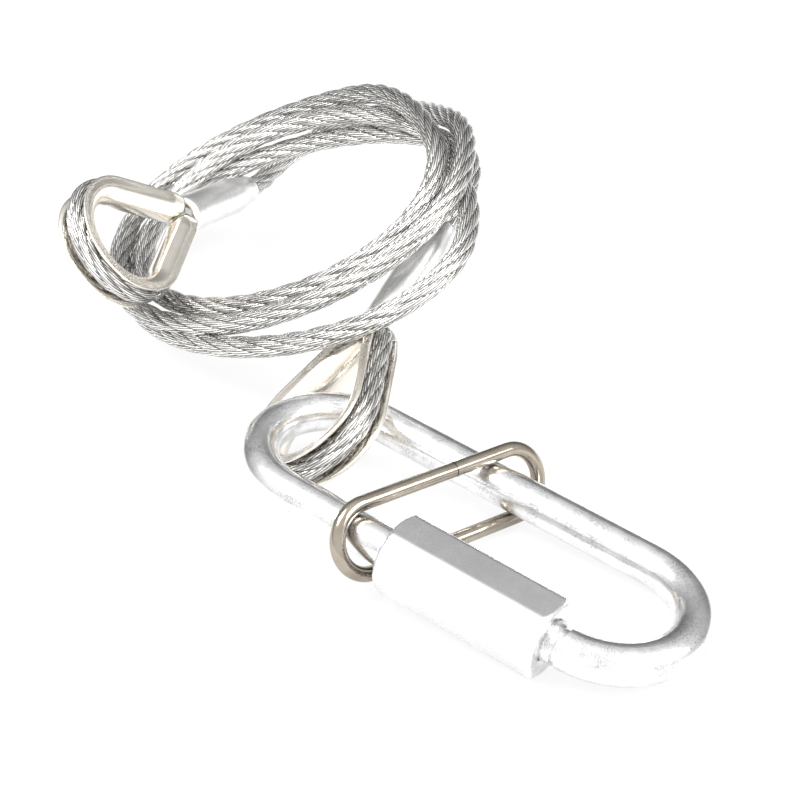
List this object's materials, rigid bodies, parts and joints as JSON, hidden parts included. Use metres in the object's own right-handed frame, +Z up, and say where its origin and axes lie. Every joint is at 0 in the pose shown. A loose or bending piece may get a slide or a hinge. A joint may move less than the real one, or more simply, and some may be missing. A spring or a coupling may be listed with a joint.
{
  "type": "wire rope safety tether",
  "caption": "Coiled galvanised wire rope with a thimble eye and pressed ferrule at each end; one eye hangs on a long quick link with a hexagonal sleeve nut and a wire keeper ring",
  "frame": {"origin": "On the floor that the tether lies on, under the middle of the bounding box of the link, its nut, its keeper, and the thimble, rope eye and ferrule on the link; the coil and the free eye are left out of that box", "axes": "+Z up; +X along the link's legs, from the bend that holds the thimble to the bare bend; -Y is the side of the leg with the nut"},
  "size_m": [0.1185, 0.0883, 0.033],
  "materials": {
    "zinc_steel": "bright zinc plate",
    "nickel_steel": "nickel plate",
    "galvanised_rope": "galvanised strand",
    "ferrule_aluminium": "satin, pressed"
  },
  "bodies": {
    "link": {"quick_link": "zinc_steel"},
    "keeper": {"keeper_ring": "nickel_steel"},
    "nut": {"sleeve_nut": "zinc_steel"},
    "sling": {"link_thimble": "nickel_steel", "link_eye_rope": "galvanised_rope", "link_ferrule": "ferrule_aluminium", "rope_lead": "galvanised_rope", "rope_coil": "galvanised_rope", "rope_tail": "galvanised_rope", "free_ferrule": "ferrule_aluminium", "free_eye_rope": "galvanised_rope", "free_thimble": "nickel_steel"}
  },
  "joints": [
    {"name": "keeper_slide", "type": "slide", "parent": "link", "child": "keeper", "axis": [0.9952, 0, -0.0983], "range_m": [-0.00961, 0]},
    {"name": "nut_turn", "type": "hinge", "parent": "keeper", "child": "nut", "pos_m": [0.00848, -0.02062, 0.00575], "axis": [0.9952, 0, -0.0983], "range_deg": [-4320, 0]},
    {"name": "eye_swing", "type": "hinge", "parent": "link", "child": "sling", "pos_m": [-0.02567, -0.00483, 0.00808], "axis": [0.8892, 0.4438, 0.1113], "range_deg": [0, 45]}
  ],
  "couplings": [
    {"joint": "keeper_slide", "follows": "nut_turn", "m_per_rad": 0.00012732}
  ]
}
